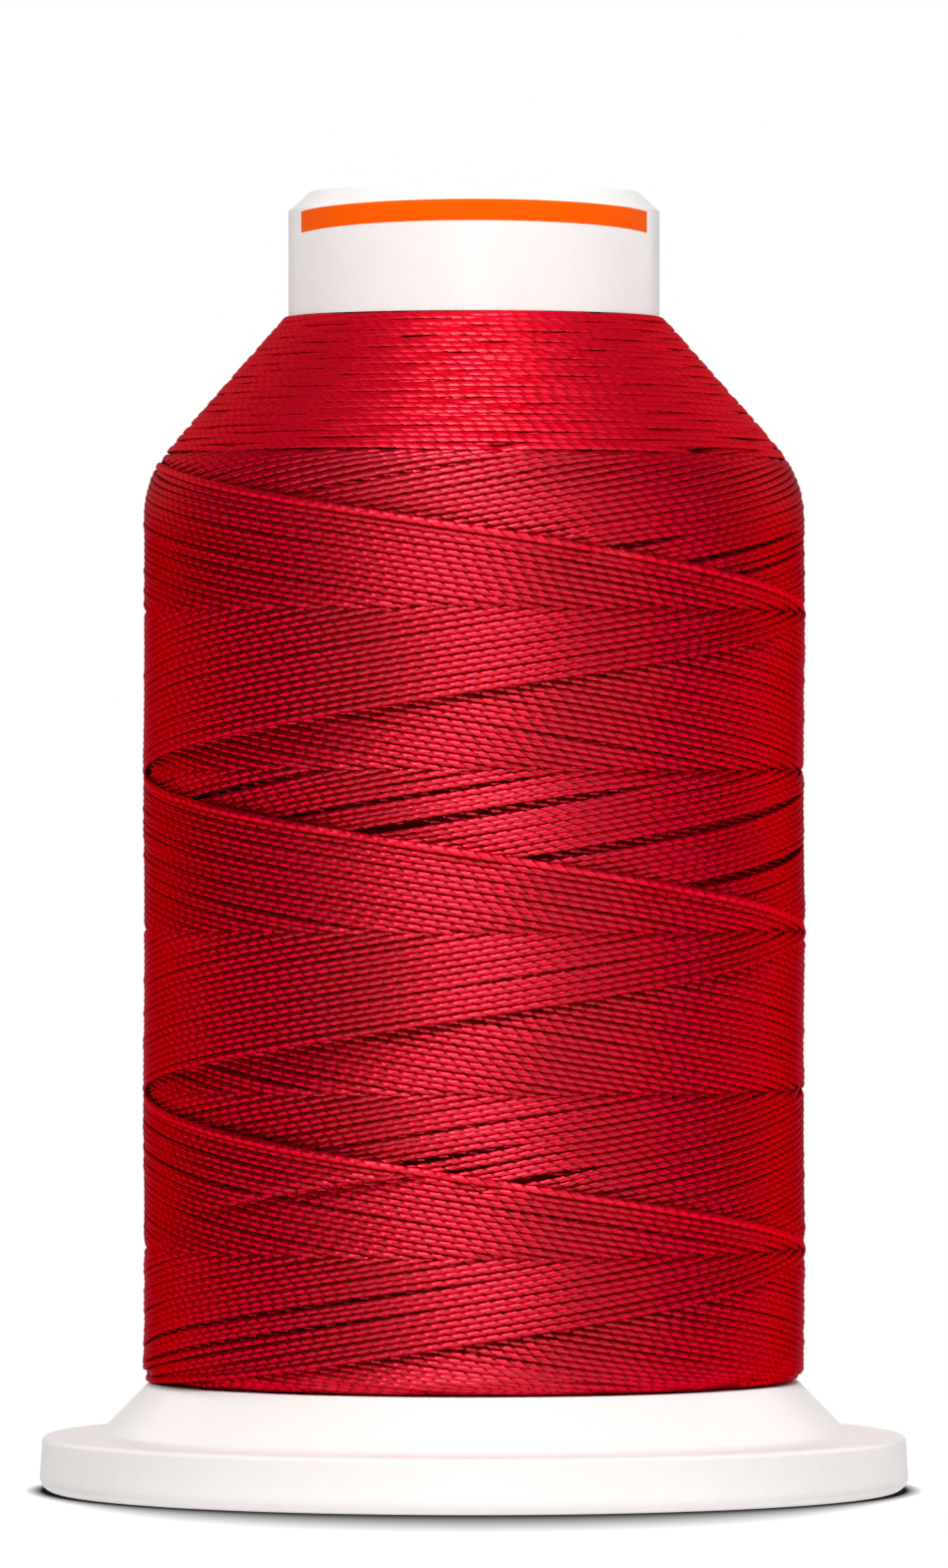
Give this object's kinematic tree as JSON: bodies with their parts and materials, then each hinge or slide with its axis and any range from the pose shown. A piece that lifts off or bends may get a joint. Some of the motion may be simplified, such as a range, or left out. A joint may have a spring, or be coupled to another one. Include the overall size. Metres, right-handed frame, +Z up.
{
  "type": "spool of thread",
  "caption": "Cross-wound spool of sewing thread on a hollow tube with a chamfered collar and a broad hollow foot that stands flat.",
  "frame": {"origin": "centre of the foot's underside, on the spool's axis, in the plane that the spool stands on", "axes": "+Z up along the spool's axis, from the foot to the collar; +X to the right and -Y towards the viewer of the printed stripe"},
  "size_m": [0.0598, 0.0598, 0.0895],
  "materials": {
    "moulding": "white satin-gloss moulded plastic",
    "thread": "deep red three-ply sewing thread with a soft sheen"
  },
  "bodies": {
    "root": {"spool_tube": "moulding", "spool_foot": "moulding", "wound_layers": "thread", "outer_turns": "thread"}
  },
  "joints": []
}
